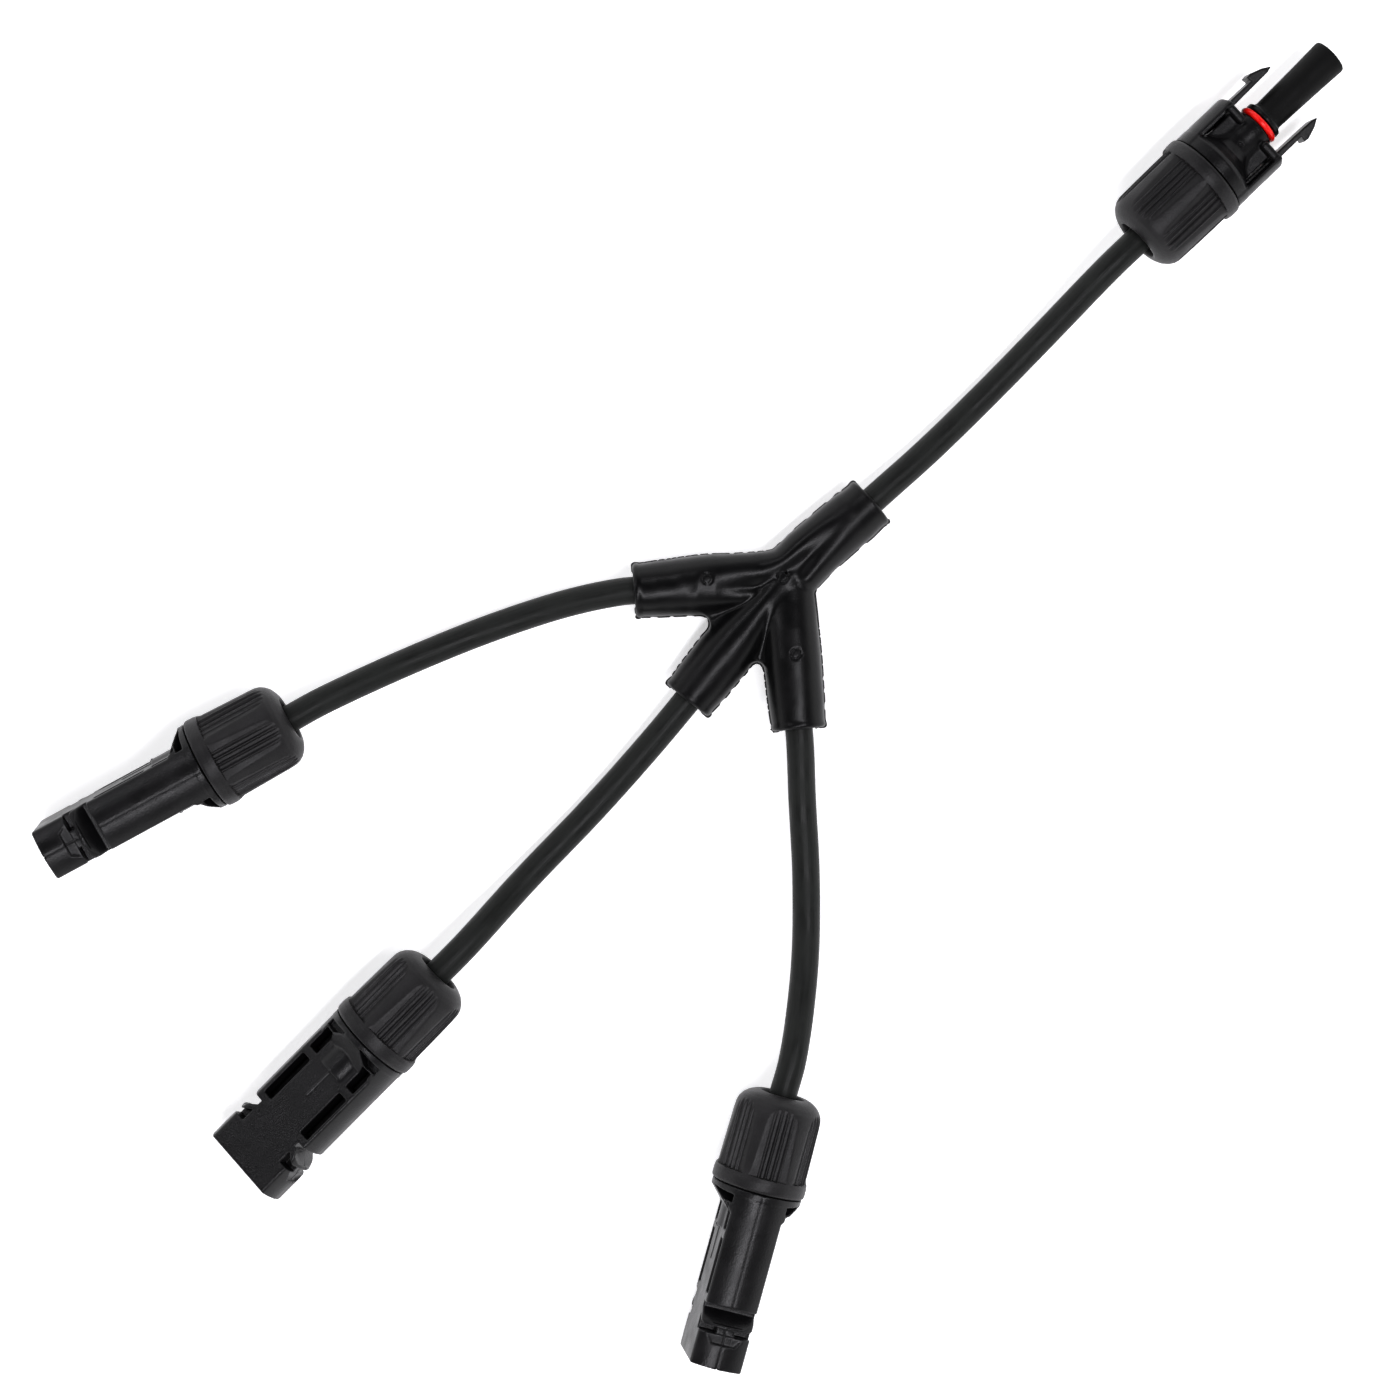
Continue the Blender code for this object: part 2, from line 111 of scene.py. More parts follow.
CAMERA_OVER = (-31.3, -6.4)
CAMERA_HEIGHT = 759.0
CAMERA_LENS = 89.7
CAMERA_TURN = -43.5


def make_camera():
    data = bpy.data.cameras.new("camera")
    data.lens = CAMERA_LENS
    data.clip_start = 0.01
    camera = bpy.data.objects.new("camera", data)
    camera.location = Vector((*CAMERA_OVER, CAMERA_HEIGHT)) * MM
    camera.rotation_euler.z = math.radians(CAMERA_TURN)
    bpy.context.scene.collection.objects.link(camera)
    bpy.context.scene.camera = camera


make_camera()

# ---------------------------------------------------------------- distance fields


def soft_min(a, b, soft):
    """The smaller of two fields, rounded off where they are within the soft distance."""
    if not soft:
        return np.minimum(a, b)
    share = np.maximum(soft - np.abs(a - b), 0.0)
    return np.minimum(a, b) - share * share / (4 * soft)


def join(soft, *fields):
    """One body from several, with a fillet of the soft size."""
    body = fields[0]
    for field in fields[1:]:
        body = soft_min(body, field, soft)
    return body


def common(soft, *fields):
    """What all the bodies share, with its edges softened."""
    return -join(soft, *(-field for field in fields))


def cut(soft, body, *tools):
    """The body without the tools, with the cuts' edges softened."""
    return common(soft, body, *(-tool for tool in tools))


def carve(body, mask, depth):
    """The body, sunk by the depth where the mask is below zero."""
    return np.maximum(body, -np.maximum(mask, -body - depth))


def raise_up(body, mask, height):
    """The body, thicker by the height where the mask is below zero."""
    return np.minimum(body, np.maximum(mask, body - height))


def slab(v, low, high):
    """The layer where v is between low and high."""
    return np.maximum(low - v, v - high)


def block(x, y, z, low, high, edge=0.0):
    """A box whose edges are rounded."""
    out = [np.abs(v - (a + b) / 2) - (b - a) / 2 + edge for v, a, b in zip((x, y, z), low, high)]
    outside = np.sqrt(sum(np.maximum(v, 0.0) ** 2 for v in out))
    return outside + np.minimum(np.maximum(np.maximum(out[0], out[1]), out[2]), 0.0) - edge


def inside_outline(u, v, outline):
    """The distance to a closed outline of (u, v), below zero inside it."""
    nearest, side = None, 1.0
    for (u0, v0), (u1, v1) in zip(outline, outline[1:] + outline[:1]):
        du, dv = u1 - u0, v1 - v0
        along = np.clip(((u - u0) * du + (v - v0) * dv) / (du * du + dv * dv), 0.0, 1.0)
        square = (u - u0 - du * along) ** 2 + (v - v0 - dv * along) ** 2
        nearest = square if nearest is None else np.minimum(nearest, square)
        above, below = v >= v0, v < v1
        left = du * (v - v0) > dv * (u - u0)
        side = np.where((above & below & left) | ~(above | below | left), -side, side)
    return side * np.sqrt(nearest)


CELL_CORNERS = [(i, j, k) for i in (0, 1) for j in (0, 1) for k in (0, 1)]
SETTLING_PASSES = 4


def corner_of_cells(data, at):
    """The values at one corner of every grid cell."""
    return data[tuple(slice(c, n - 1 + c) for c, n in zip(at, data.shape))]


def net_points(value, crossed):
    """The mean place, in cells, where each crossed cell's edges pass through the surface."""
    total = np.zeros((crossed.sum(), 3), np.float32)
    hits = np.zeros(crossed.sum(), np.float32)
    for start in CELL_CORNERS:
        for axis in range(3):
            if start[axis]:
                continue
            end = tuple(1 if i == axis else c for i, c in enumerate(start))
            a, b = corner_of_cells(value, start)[crossed], corner_of_cells(value, end)[crossed]
            passed = (a < 0) != (b < 0)
            place = np.tile(np.array(start, np.float32), (len(a), 1))
            place[:, axis] = a / np.where(passed, a - b, 1.0)
            total += place * passed[:, None]
            hits += passed
    return np.argwhere(crossed) + total / hits[:, None]


def net_faces(inside, number):
    """A quad round each grid edge that the surface passes, wound outwards."""
    faces = []
    for axis in range(3):
        one, two = (axis + 1) % 3, (axis + 2) % 3
        here = [slice(1, n - 1) for n in inside.shape]
        here[axis] = slice(0, inside.shape[axis] - 1)
        there = list(here)
        there[axis] = slice(1, inside.shape[axis])
        first, second = inside[tuple(here)], inside[tuple(there)]
        at = np.argwhere(first != second)
        solid_first = first[first != second]
        at[:, one] += 1
        at[:, two] += 1
        around = []
        for back_one, back_two in ((0, 0), (1, 0), (1, 1), (0, 1)):
            cell = at.copy()
            cell[:, one] -= back_one
            cell[:, two] -= back_two
            around.append(number[tuple(cell.T)])
        quads = np.stack(around, 1)
        faces.append(np.where(solid_first[:, None], quads, quads[:, ::-1]))
    return np.concatenate(faces)


def skin(name, field, low, high, step):
    """A mesh of the surface where the field is zero, by surface nets on a grid, whose vertices are
    then pulled onto the surface."""
    low = np.array(low, np.float32)
    axes = [np.arange(a, b + step, step, dtype=np.float32) for a, b in zip(low, high)]
    shape = tuple(len(axis) for axis in axes)
    value = np.broadcast_to(field(*np.meshgrid(*axes, indexing="ij", sparse=True)), shape)
    inside = value < 0
    count = sum(corner_of_cells(inside, at).astype(np.int8) for at in CELL_CORNERS)
    crossed = (count > 0) & (count < len(CELL_CORNERS))
    number = np.full(crossed.shape, -1, np.int64)
    number[crossed] = np.arange(crossed.sum())
    points = low + net_points(value, crossed) * step
    faces = net_faces(inside, number)
    for _ in range(SETTLING_PASSES):
        points = settle(points, field, step)
    mesh = bpy.data.meshes.new(name)
    mesh.from_pydata((points * MM).tolist(), [], faces.tolist())
    mesh.shade_smooth()
    return mesh


def settle(points, field, step):
    """Moves each point towards the surface, along the field's slope."""
    probe = 0.02
    here = field(*points.T)
    slope = [field(*(points + probe * np.eye(3, dtype=np.float32)[i]).T) - here for i in range(3)]
    slope = np.stack(slope, 1) / probe
    size = np.maximum((slope**2).sum(1), 0.05)
    move = np.clip(here / size, -0.5 * step, 0.5 * step)
    return (points - slope * move[:, None]).astype(np.float32)


def ripple(x, y, z, size):
    """A soft unevenness of about -1 to 1, whose waves are about the size across."""
    k = 2 * math.pi / size
    return (
        np.sin(k * (x + 0.35 * y) + 1.3) * np.sin(k * (0.8 * y - 0.3 * z) + 0.4)
        + np.sin(k * 0.53 * (x - y) + 2.1) * np.cos(k * 0.61 * (y + 0.7 * z))
    ) / 2


# ---------------------------------------------------------------- materials

JUNCTION_SPECULAR, CABLE_SPECULAR = 0.26, 0.25


def shader_tree(name):
    material = bpy.data.materials.new(name)
    material.use_nodes = True
    tree = material.node_tree
    return material, tree, tree.nodes["Principled BSDF"]


def add_node(tree, kind, **settings):
    node = tree.nodes.new(kind)
    for key, setting in settings.items():
        if key in node.inputs:
            node.inputs[key].default_value = setting
        else:
            setattr(node, key, setting)
    return node


def noise(tree, place, scale, detail=3.0, roughness=0.55):
    texture = add_node(tree, "ShaderNodeTexNoise", Scale=scale, Detail=detail, Roughness=roughness)
    tree.links.new(place, texture.inputs["Vector"])
    return texture.outputs["Fac"]


def spread(tree, source, low, high, to_low, to_high):
    """A value that runs from to_low to to_high as the source runs from low to high."""
    node = add_node(tree, "ShaderNodeMapRange")
    limits = (("From Min", low), ("From Max", high), ("To Min", to_low), ("To Max", to_high))
    for key, setting in limits:
        node.inputs[key].default_value = setting
    tree.links.new(source, node.inputs["Value"])
    return node.outputs["Result"]


def mix_colours(tree, share, first, second):
    node = add_node(tree, "ShaderNodeMix", data_type="RGBA")
    tree.links.new(share, node.inputs["Factor"])
    for socket, colour in ((node.inputs[6], first), (node.inputs[7], second)):
        if isinstance(colour, tuple):
            socket.default_value = (*colour, 1.0)
        else:
            tree.links.new(colour, socket)
    return node.outputs[2]


def bump(tree, height, distance, strength, below=None):
    node = add_node(tree, "ShaderNodeBump", Distance=distance, Strength=strength)
    tree.links.new(height, node.inputs["Height"])
    if below is not None:
        tree.links.new(below, node.inputs["Normal"])
    return node.outputs["Normal"]


def object_place(tree):
    return add_node(tree, "ShaderNodeTexCoord").outputs["Object"]


def scuffed_and_highlit_edges(tree, place, colour, light, edge_scuff_and_highlight):
    """The colour, paler in patches along convex edges: partly scuff wear, partly a painted edge
    highlight.
    """
    # Painted highlight with wear: convex edges are made paler in noisy patches, so they look lit as
    # well as scuffed.
    edges = add_node(tree, "ShaderNodeNewGeometry").outputs["Pointiness"]
    patchy = spread(tree, noise(tree, place, 420.0, 2.0), 0.4, 0.65, 0.0, 1.0)
    scuff_and_highlight_share = add_node(tree, "ShaderNodeMath", operation="MULTIPLY")
    tree.links.new(spread(tree, edges, 0.53, 0.62, 0.0, edge_scuff_and_highlight), scuff_and_highlight_share.inputs[0])
    tree.links.new(patchy, scuff_and_highlight_share.inputs[1])
    return mix_colours(tree, scuff_and_highlight_share.outputs[0], colour, tuple(4.5 * c for c in light))


def matt_end(tree, place, colour, gloss, matt_from):
    """The colour and the roughness, darker and duller beyond a distance along the piece's axis."""
    parts = add_node(tree, "ShaderNodeSeparateXYZ")
    tree.links.new(place, parts.inputs["Vector"])
    matt = spread(tree, parts.outputs["X"], matt_from - MM, matt_from, 0.0, 1.0)
    colour = mix_colours(tree, matt, colour, (0.0006, 0.0006, 0.0006))
    duller = add_node(tree, "ShaderNodeMath", operation="ADD")
    tree.links.new(gloss, duller.inputs[0])
    tree.links.new(spread(tree, matt, 0.0, 1.0, 0.0, 0.25), duller.inputs[1])
    return colour, duller.outputs[0]


def moulded_plastic(name, dark, light, roughness, grain, grain_depth, edge_scuff_and_highlight, specular=0.36,
                    matt_from=None):
    """A black moulded plastic: faint mottling, fine grain, uneven gloss, edges paler by wear and
    painted highlight.
    """
    material, tree, shader = shader_tree(name)
    link = tree.links.new
    place = object_place(tree)
    mottle = noise(tree, place, 130.0, 4.0)
    colour = mix_colours(tree, spread(tree, mottle, 0.35, 0.7, 0.0, 1.0), dark, light)
    # Convex edges painted paler: partly scuff wear, partly a painted highlight.
    if edge_scuff_and_highlight:
        colour = scuffed_and_highlit_edges(tree, place, colour, light, edge_scuff_and_highlight)
    sheen = noise(tree, place, 210.0, 3.0)
    gloss = spread(tree, sheen, 0.3, 0.7, roughness - 0.06, roughness + 0.07)
    if matt_from is not None:
        colour, gloss = matt_end(tree, place, colour, gloss, matt_from)
    link(colour, shader.inputs["Base Color"])
    link(gloss, shader.inputs["Roughness"])
    shader.inputs["Specular IOR Level"].default_value = specular
    coarse = bump(tree, noise(tree, place, 170.0, 2.0), 0.0005, 0.12)
    fine = noise(tree, place, grain, 2.0, 0.6)
    link(bump(tree, fine, grain_depth, 0.5, coarse), shader.inputs["Normal"])
    return material


def glossy_vinyl(name):
    """The junction's soft black vinyl: glossy, a little uneven, with dull smears."""
    material, tree, shader = shader_tree(name)
    link = tree.links.new
    place = object_place(tree)
    smear = spread(tree, noise(tree, place, 90.0, 5.0, 0.6), 0.42, 0.68, 0.0, 1.0)
    colour = mix_colours(tree, smear, (0.0015, 0.0015, 0.0018), (0.0035, 0.0033, 0.0038))
    link(colour, shader.inputs["Base Color"])
    link(spread(tree, smear, 0.0, 1.0, 0.29, 0.4), shader.inputs["Roughness"])
    shader.inputs["Specular IOR Level"].default_value = JUNCTION_SPECULAR
    waves = bump(tree, noise(tree, place, 260.0, 2.0), 0.0006, 0.04)
    link(bump(tree, noise(tree, place, 2400.0, 2.0), 0.00008, 0.25, waves), shader.inputs["Normal"])
    return material


def cable_vinyl(name):
    """A cable jacket: faint greenish black, drawn lines along its length, dusty patches."""
    material, tree, shader = shader_tree(name)
    link = tree.links.new
    uv = add_node(tree, "ShaderNodeTexCoord").outputs["UV"]
    drawn = add_node(tree, "ShaderNodeMapping", Scale=(26.0, 9.0, 1.0))
    link(uv, drawn.inputs["Vector"])
    lines = noise(tree, drawn.outputs["Vector"], 1.6, 4.0)
    place = object_place(tree)
    dust = spread(tree, noise(tree, place, 160.0, 4.0), 0.42, 0.7, 0.0, 1.0)
    streaks = spread(tree, lines, 0.3, 0.7, 0.0, 1.0)
    tone = mix_colours(tree, streaks, (0.0075, 0.0082, 0.0075), (0.0125, 0.0137, 0.0125))
    dusty = mix_colours(tree, spread(tree, dust, 0.0, 1.0, 0.0, 0.5), tone, (0.019, 0.021, 0.019))
    link(dusty, shader.inputs["Base Color"])
    link(spread(tree, dust, 0.0, 1.0, 0.40, 0.55), shader.inputs["Roughness"])
    shader.inputs["Specular IOR Level"].default_value = CABLE_SPECULAR
    drag = bump(tree, lines, 0.0002, 0.35)
    link(bump(tree, noise(tree, place, 1800.0, 2.0), 0.00005, 0.4, drag), shader.inputs["Normal"])
    return material


def soft_rubber(name, first, second, roughness):
    """Rubber or silicone: a faint mottle and a fine matt grain."""
    material, tree, shader = shader_tree(name)
    link = tree.links.new
    place = object_place(tree)
    share = spread(tree, noise(tree, place, 700.0, 3.0), 0.35, 0.65, 0.0, 1.0)
    link(mix_colours(tree, share, first, second), shader.inputs["Base Color"])
    link(spread(tree, share, 0.0, 1.0, roughness, roughness + 0.12), shader.inputs["Roughness"])
    link(bump(tree, noise(tree, place, 2500.0, 2.0), 0.00005, 0.3), shader.inputs["Normal"])
    return material


def turned_metal(name, first, second, roughness):
    """Plated metal with tool rings across its axis and duller patches."""
    material, tree, shader = shader_tree(name)
    link = tree.links.new
    place = object_place(tree)
    shader.inputs["Metallic"].default_value = 1.0
    rings = add_node(tree, "ShaderNodeTexWave", bands_direction="X", Scale=900.0, Distortion=2.0)
    link(place, rings.inputs["Vector"])
    tarnish = spread(tree, noise(tree, place, 500.0, 4.0), 0.35, 0.7, 0.0, 1.0)
    link(mix_colours(tree, tarnish, first, second), shader.inputs["Base Color"])
    link(spread(tree, tarnish, 0.0, 1.0, roughness, roughness + 0.18), shader.inputs["Roughness"])
    link(bump(tree, rings.outputs["Fac"], 0.00003, 0.3), shader.inputs["Normal"])
    return material


BODY_BLACK = dict(
    dark=(0.004, 0.0038, 0.0043), light=(0.0075, 0.0072, 0.0081), roughness=0.34, grain=2600.0,
    grain_depth=0.00009, edge_scuff_and_highlight=0.3)
NUT_BLACK = dict(
    dark=(0.0085, 0.0079, 0.0087), light=(0.0138, 0.013, 0.014), roughness=0.44, grain=2400.0,
    grain_depth=0.0001, edge_scuff_and_highlight=0.35)
CAGE_BLACK = dict(
    dark=(0.03, 0.03, 0.03), light=(0.05, 0.05, 0.05), roughness=0.5, grain=2400.0,
    grain_depth=0.0001, edge_scuff_and_highlight=0.0)
LOOK_SETTINGS = {
    "junction_pvc": (glossy_vinyl, {}),
    "cable_jacket": (cable_vinyl, {}),
    "housing_nylon": (moulded_plastic, BODY_BLACK),
    "probe_nylon": (moulded_plastic, dict(BODY_BLACK, specular=0.24, matt_from=0.0385)),
    "nut_nylon": (moulded_plastic, NUT_BLACK),
    "cage_nylon": (moulded_plastic, CAGE_BLACK),
    "seal_rubber": (soft_rubber, dict(
        first=(0.02, 0.02, 0.02), second=(0.04, 0.04, 0.04), roughness=0.65)),
    "o_ring_silicone": (soft_rubber, dict(
        first=(0.75, 0.004, 0.002), second=(0.9, 0.008, 0.003), roughness=0.3)),
    "contact_tin": (turned_metal, dict(
        first=(0.78, 0.77, 0.74), second=(0.55, 0.54, 0.52), roughness=0.22)),
    "conductor_copper": (turned_metal, dict(
        first=(0.82, 0.45, 0.28), second=(0.6, 0.3, 0.18), roughness=0.3)),
    "spring_brass": (turned_metal, dict(
        first=(0.83, 0.64, 0.3), second=(0.6, 0.45, 0.2), roughness=0.25)),
}
LOOKS = {name: make(name, **settings) for name, (make, settings) in LOOK_SETTINGS.items()}

# ---------------------------------------------------------------- pieces


def show(name, data, look, matrix=None):
    """An object in the scene, with its mesh's material."""
    obj = bpy.data.objects.new(name, data)
    bpy.context.scene.collection.objects.link(obj)
    if matrix is not None:
        obj.matrix_world = matrix
    if not data.materials:
        data.materials.append(LOOKS[look])
    return obj


def stands_for(obj, node, body="root"):
    """Hides the CAD node that the object takes the place of, and ties the object to the body it
    moves with.
    """
    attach(obj, body)
    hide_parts(node)
    return obj


# ---------------------------------------------------------------- cables


UV_LENGTH = 100


def smooth_curve(points, samples=24):
    """Points on a centripetal Catmull-Rom curve through the given ones."""
    points = [Vector(p) for p in points]
    padded = [2 * points[0] - points[1], *points, 2 * points[-1] - points[-2]]
    fine = []
    for p0, p1, p2, p3 in zip(padded, padded[1:], padded[2:], padded[3:]):
        t1 = (p1 - p0).length ** 0.5
        t2 = t1 + (p2 - p1).length ** 0.5
        t3 = t2 + (p3 - p2).length ** 0.5
        for i in range(samples):
            t = t1 + (t2 - t1) * i / samples
            a1 = p0.lerp(p1, t / t1)
            a2 = p1.lerp(p2, (t - t1) / (t2 - t1))
            a3 = p2.lerp(p3, (t - t2) / (t3 - t2))
            b1 = a1.lerp(a2, t / t2)
            b2 = a2.lerp(a3, (t - t1) / (t3 - t1))
            fine.append(b1.lerp(b2, (t - t1) / (t2 - t1)))
    return fine + [points[-1]]


def evenly(points, step):
    """Points at even steps along a line of points, and the line's length."""
    line = np.array([tuple(p) for p in points])
    reach = np.concatenate([[0.0], np.cumsum(np.linalg.norm(np.diff(line, axis=0), axis=1))])
    at = np.linspace(0.0, reach[-1], round(reach[-1] / step) + 1)
    return np.stack([np.interp(at, reach, line[:, i]) for i in range(3)], 1), reach[-1]


def tube_mesh(name, route, radius, sides=32):
    """A round bar along a route, whose UV map runs round it and along it."""
    bm = bmesh.new()
    uv = bm.loops.layers.uv.new("along")
    direction = np.gradient(route, axis=0)
    up = Vector((0, 0, 1))
    rings = []
    for place, way in zip(route, direction):
        way = Vector(way).normalized()
        side = way.cross(up).normalized()
        top = side.cross(way)
        ring = []
        for i in range(sides):
            angle = 2 * math.pi * i / sides
            off = side * math.cos(angle) + top * math.sin(angle)
            ring.append(bm.verts.new((Vector(place) + off * radius) * MM))
        rings.append(ring)
    for n, (a, b) in enumerate(zip(rings, rings[1:])):
        for i in range(sides):
            j = (i + 1) % sides
            face = bm.faces.new((a[i], b[i], b[j], a[j]))
            for loop, (u, v) in zip(face.loops, ((i, n), (i, n + 1), (i + 1, n + 1), (i + 1, n))):
                loop[uv].uv = (u / sides, v * CABLE_STEP / UV_LENGTH)
    bm.faces.new(reversed(rings[0]))
    bm.faces.new(rings[-1])
    bmesh.ops.recalc_face_normals(bm, faces=bm.faces)
    mesh = bpy.data.meshes.new(name)
    bm.to_mesh(mesh)
    bm.free()
    mesh.shade_smooth()
    mesh.set_sharp_from_angle(angle=math.radians(50))
    return mesh


def cables():
    """A cable from each leg of the junction to its connector."""
    for name, (connector, middle_points) in CABLES.items():
        leg, seat, leg_length = LEG_FRAMES[name], SEATS[connector], LEGS[name][1]
        starts = (JACKET_START, leg_length - CABLE_LEAD, leg_length + CABLE_LEAD)
        points = [on_axis(leg, along) for along in starts]
        points += [Vector(point) for point in middle_points]
        points += [on_axis(seat, along) for along in CABLE_INSIDE]
        route, length = evenly(smooth_curve(points), CABLE_STEP)
        jacket = show(f"{name}_cable", tube_mesh(f"{name}_cable", route, JACKET_R), "cable_jacket")
        stands_for(jacket, f"{name}_cable_jacket")


cables()

# ---------------------------------------------------------------- junction


LEG_SHAPES = {  # (distance from the hub, half the width, half the height)
    "trunk": [(0, 3.6, 4.35), (7, 4.6, 4.45), (13, 5.6, 5.3), (17, 5.85, 5.8)],
    "left": [(0, 3.2, 2.8), (6, 3.8, 3.4), (11, 5.0, 4.6), (15, 6.0, 5.7), (19, 6.3, 6.2)],
    "middle": [(0, 3.4, 4.4), (5, 3.8, 4.5), (10, 4.7, 4.9), (16, 5.8, 5.7), (21, 6.2, 6.2)],
    "right": [(0, 5.9, 4.3), (5, 6.1, 4.8), (11, 6.2, 5.7), (17, 6.3, 6.2)],
}
RIDGES = [  # raised runs across the hub: (x, y, half the width, half the height)
    [(-16.4, 14.7, 4.8, 5.8), (-11.2, 11.5, 4.5, 5.6), (-6.5, 7.9, 4.2, 5.2), (-2.6, 4.9, 4.1, 4.9),
     (1.7, 3.0, 3.4, 5.1), (7.0, 2.5, 3.9, 5.25), (13.0, 2.0, 4.0, 5.4), (19.0, 1.0, 4.4, 5.5)],
    [(-15.8, 10.7, 4.4, 5.6), (-12.6, 6.8, 3.3, 4.9), (-9.2, 3.7, 2.8, 4.3), (-6.2, 1.8, 1.7, 3.5)],
    [(3.7, -3.0, 3.3, 4.8), (8.0, -2.5, 3.6, 5.0), (13.0, -2.2, 3.7, 5.2), (18.0, -1.4, 4.2, 5.5)],
]
LEG_END_R = 5.9
MARK_R = 1.1
MARKS = [(-12.3, 11.4), (-0.2, 0.5), (-9.6, -13.4)]
MARK_HALF_WIDTH, MARK_DEPTH = 0.17, 0.25
CORE_R, FERRULE_ROOM_R, JACKET_ROOM_R = 2.3, 4.0, 3.4
FLASH_TOP, FLASH_THICKNESS, FLASH_WIDTH = 0.1, 0.35, 0.28
LEG_FILLET, WEB_FILLET = 1.1, 1.6
UNEVENNESS = ((0.035, 9.0), (0.01, 4.0))  # (height, width) of the soft waves


def oval(across, z, width, height):
    """Roughly the distance to an oval whose half width and half height are given."""
    return np.hypot(across * (height / width), z) - height


def leg_field(x, y, z, name):
    """One leg, and the room inside it for the jacket, the conductor and the splice ferrule."""
    heading, length = LEGS[name]
    c, s = math.cos(math.radians(heading)), math.sin(math.radians(heading))
    along, across = x * c + y * s, y * c - x * s
    end = [(length - 5, 6.0, 6.0), (length - 1.6, LEG_END_R - 0.15, LEG_END_R - 0.15),
           (length - 0.9, LEG_END_R, LEG_END_R)]
    reach, widths, heights = zip(*LEG_SHAPES[name], *end)
    body = oval(across, z, np.interp(along, reach, widths), np.interp(along, reach, heights))
    body = common(0.8, body, along - length, -along - 0.5)
    room = np.maximum(np.hypot(across, z) - JACKET_ROOM_R, JACKET_START - 0.3 - along)
    core = np.maximum(np.hypot(across, z) - CORE_R, slab(along, -0.5, JACKET_START))
    if name == "trunk":
        ferrule = np.maximum(np.hypot(across, z) - FERRULE_ROOM_R, slab(along, 0.8, JACKET_START))
        core = np.minimum(core, ferrule)
    return body, np.minimum(room, core)


def ridge_field(x, y, z, stations):
    """An oval tube in the plane z = 0, along a smooth curve through its stations."""
    samples = 4
    curve = smooth_curve([(a, b, 0) for a, b, _, _ in stations], samples)
    line = np.array([tuple(p)[:2] for p in curve])
    at = np.linspace(0, len(stations) - 1, len(line))
    sizes = [np.interp(at, range(len(stations)), [station[i] for station in stations])
             for i in (2, 3)]
    nearest = width = height = None
    for n, ((x0, y0), (x1, y1)) in enumerate(zip(line, line[1:])):
        dx, dy = x1 - x0, y1 - y0
        along = np.clip(((x - x0) * dx + (y - y0) * dy) / (dx * dx + dy * dy), 0.0, 1.0)
        far = np.hypot(x - x0 - dx * along, y - y0 - dy * along)
        here = [size[n] + (size[n + 1] - size[n]) * along for size in sizes]
        if nearest is None:
            nearest, (width, height) = far, here
        else:
            nearer = far < nearest
            width, height = np.where(nearer, here[0], width), np.where(nearer, here[1], height)
            nearest = np.where(nearer, far, nearest)
    return oval(nearest, z, width, height)


def junction_field(x, y, z):
    """The legs, ridges and web in one, with the parting flash and the round ejector marks."""
    legs, rooms = zip(*(leg_field(x, y, z, name) for name in LEGS))
    ridges = [ridge_field(x, y, z, stations) for stations in RIDGES]
    body = join(LEG_FILLET, *legs, *ridges)
    headings = [math.radians(LEGS[name][0]) for name in ("left", "middle", "right")]
    corners = [(WEB_REACH * math.cos(a), WEB_REACH * math.sin(a)) for a in headings]
    web = common(1.0, inside_outline(x, y, [(0.7, 0.2), *corners]), np.abs(z) - WEB_HALF_HEIGHT)
    (wave, width), (small_wave, small_width) = UNEVENNESS
    body = join(WEB_FILLET, body, web) + wave * ripple(x, y, z, width)
    body = body + small_wave * ripple(y, z, x, small_width)
    middle = FLASH_TOP - FLASH_THICKNESS / 2
    body = raise_up(body, np.abs(z - middle) - FLASH_THICKNESS / 2, FLASH_WIDTH)
    for mark_x, mark_y in MARKS:
        ring = np.abs(np.hypot(x - mark_x, y - mark_y) - MARK_R) - MARK_HALF_WIDTH
        body = carve(body, np.maximum(ring, -z), MARK_DEPTH)
    return cut(0.25, np.maximum(body, -AXIS_HEIGHT - z), *rooms)


def junction():
    mesh = skin("junction", junction_field, (-35, -34, -6.8), (28, 29, 7.2), JUNCTION_GRID)
    stands_for(show("junction", mesh, "junction_pvc", HUB), "junction_body")


junction()

# ---------------------------------------------------------------- gland nut

NUT_SECTORS = 6
FLAT_APOTHEM, FLAT_END_X, STEP_WIDTH = 8.85, 17.3, 0.3
RIBS = (-2.05, -0.68, 0.68, 2.05)
RIB_HALF_WIDTH, RIB_HEIGHT, RIB_TOP = 0.38, 0.6, 0.8
NUT_ANGLES = 600
NUT_THREAD_R, NUT_THREAD_DEPTH, NUT_THREAD_STEP = 7.78, 0.28, 0.3


def nut_outer_radius(along, angle):
    """The nut's outside: a dome, six flats with four ribs each, and the smooth front ring."""
    reach = [0.0, 0.3, 0.8, 1.6, 2.6, 3.7, 5.2, 16.6, 17.5, 18.4, 19.9, 20.35, NUT_LENGTH]
    radii = [5.7, 6.6, 7.5, 8.4, 9.05, 9.35, 9.45, CORNER_R - 0.12, 10.05, RING_R - 0.03,
             RING_R - 0.03, 10.1, 9.8]
    body = np.interp(along, reach, radii)
    sector = 2 * math.pi / NUT_SECTORS
    turn = (angle + sector / 2) % sector - sector / 2
    across = FLAT_APOTHEM * np.tan(turn)
    rib = np.zeros_like(across)
    for place in RIBS:
        rib = np.maximum(rib, np.clip(1 - np.abs(across - place) / RIB_HALF_WIDTH, 0.0, 1.0))
    apothem = FLAT_APOTHEM + RIB_HEIGHT * np.minimum(rib, RIB_TOP)
    apothem = apothem + 2.5 * np.clip((along - FLAT_END_X) / STEP_WIDTH, 0.0, 1.0)
    return soft_min(body, apothem / np.cos(turn), 0.12)


